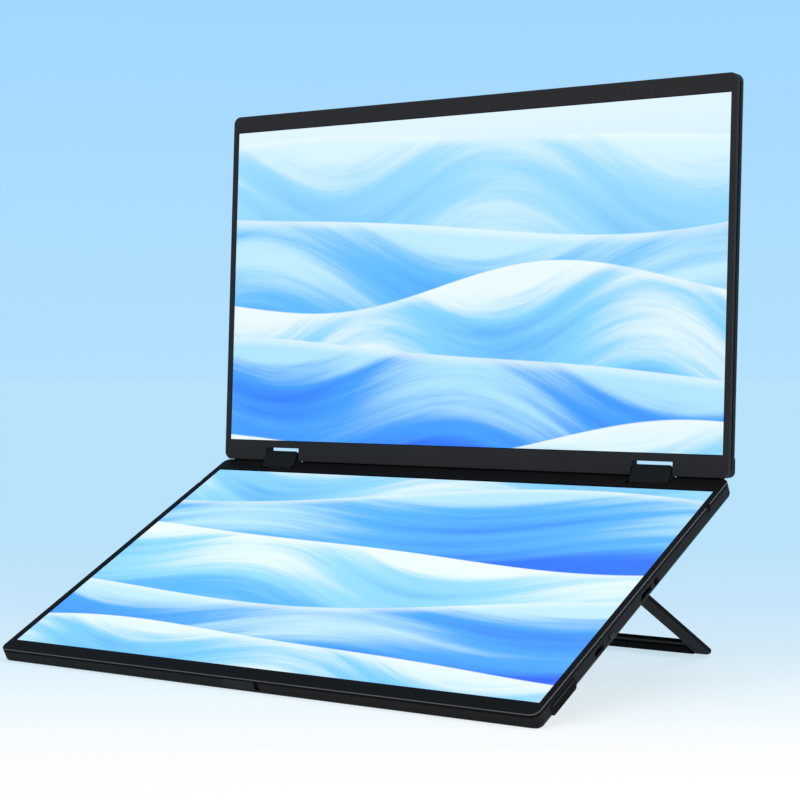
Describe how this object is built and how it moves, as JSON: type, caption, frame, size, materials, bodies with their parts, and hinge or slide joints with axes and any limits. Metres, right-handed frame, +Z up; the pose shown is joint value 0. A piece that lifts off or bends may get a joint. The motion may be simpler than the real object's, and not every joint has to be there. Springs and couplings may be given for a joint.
{
  "type": "stacked dual-screen monitor",
  "caption": "Portable monitor of stacked hinged screens: the lower one rests on its front edge and a folding stand, the upper one stands on link hinges behind it.",
  "frame": {"origin": "middle of the footprint on the desk, at desk level", "axes": "+X to the viewer's right along the hinge axes, +Y to the back, +Z up"},
  "size_m": [0.3533, 0.2503, 0.321],
  "materials": {
    "case": "fine matte texture",
    "bezel": "smooth matte",
    "link_cover": "smooth matte",
    "link_block": "matte black coat",
    "steel": "plain turned",
    "screw": "blackened",
    "screen": "lit, anti-glare",
    "guide": "clear acrylic",
    "tray": "pressed sheet",
    "board": "solder mask",
    "chip": "moulded",
    "ribbon": "flat cable",
    "socket": "plated shell",
    "jack": "moulded",
    "lamp": "clear light pipe",
    "speaker": "moulded",
    "rubber": "matte",
    "stand": "dark anodised",
    "button": "smooth matte"
  },
  "bodies": {
    "lower_half": {"audio_jack": "jack", "board_chips": "chip", "lower_backlight_tray": "tray", "lower_bezel": "bezel", "lower_case_screws": "screw", "lower_driver_board": "board", "lower_feet": "rubber", "lower_hinge_brackets": "steel", "lower_hinge_rivets": "steel", "lower_hinge_screws": "steel", "lower_hinge_shafts": "steel", "lower_lcd_panel": "screen", "lower_light_guide": "guide", "lower_panel_cable": "ribbon", "lower_rear_cover": "case", "main_board": "board", "mini_hdmi_socket": "socket", "power_switch": "chip", "speakers": "speaker", "stand_pins": "steel", "status_light_pipe": "lamp", "usb_c_socket": "socket"},
    "hinge_link": {"left_hinge_block": "link_block", "right_hinge_block": "link_block", "left_hinge_cover": "link_cover", "right_hinge_cover": "link_cover"},
    "upper_half": {"upper_backlight_tray": "tray", "upper_bezel": "bezel", "upper_case_screws": "screw", "upper_driver_board": "board", "upper_hinge_brackets": "steel", "upper_hinge_rivets": "steel", "upper_hinge_screws": "steel", "upper_hinge_shafts": "steel", "upper_lcd_panel": "screen", "upper_light_guide": "guide", "upper_rear_cover": "case", "upper_rear_pads": "rubber", "upper_status_lamp": "lamp"},
    "kickstand": {"stand_frame": "stand", "stand_foot_strip": "rubber"},
    "power_button": {"power_button": "button"},
    "slide_latch": {"slide_latch": "button"}
  },
  "joints": [
    {"name": "link_tilt", "type": "hinge", "parent": "lower_half", "child": "hinge_link", "pos_m": [0, 0.06621, 0.09986], "axis": [1, 0, 0], "range_deg": [-50.3, 59.7]},
    {"name": "upper_tilt", "type": "hinge", "parent": "hinge_link", "child": "upper_half", "pos_m": [0, 0.07119, 0.10757], "axis": [1, 0, 0], "range_deg": [-50.3, 59.7]},
    {"name": "stand_fold", "type": "hinge", "parent": "lower_half", "child": "kickstand", "pos_m": [0, 0.00395, 0.06432], "axis": [1, 0, 0], "range_deg": [-125.43, 12]},
    {"name": "power_press", "type": "slide", "parent": "lower_half", "child": "power_button", "axis": [-1, 0, 0], "range_m": [0, 0.0005], "stiffness_N_per_m": 1500},
    {"name": "latch_slide", "type": "slide", "parent": "lower_half", "child": "slide_latch", "axis": [1, 0, 0], "range_m": [0, 0.0026], "stiffness_N_per_m": 150}
  ],
  "couplings": [
    {"joint": "link_tilt", "follows": "upper_tilt", "ratio": 1}
  ]
}
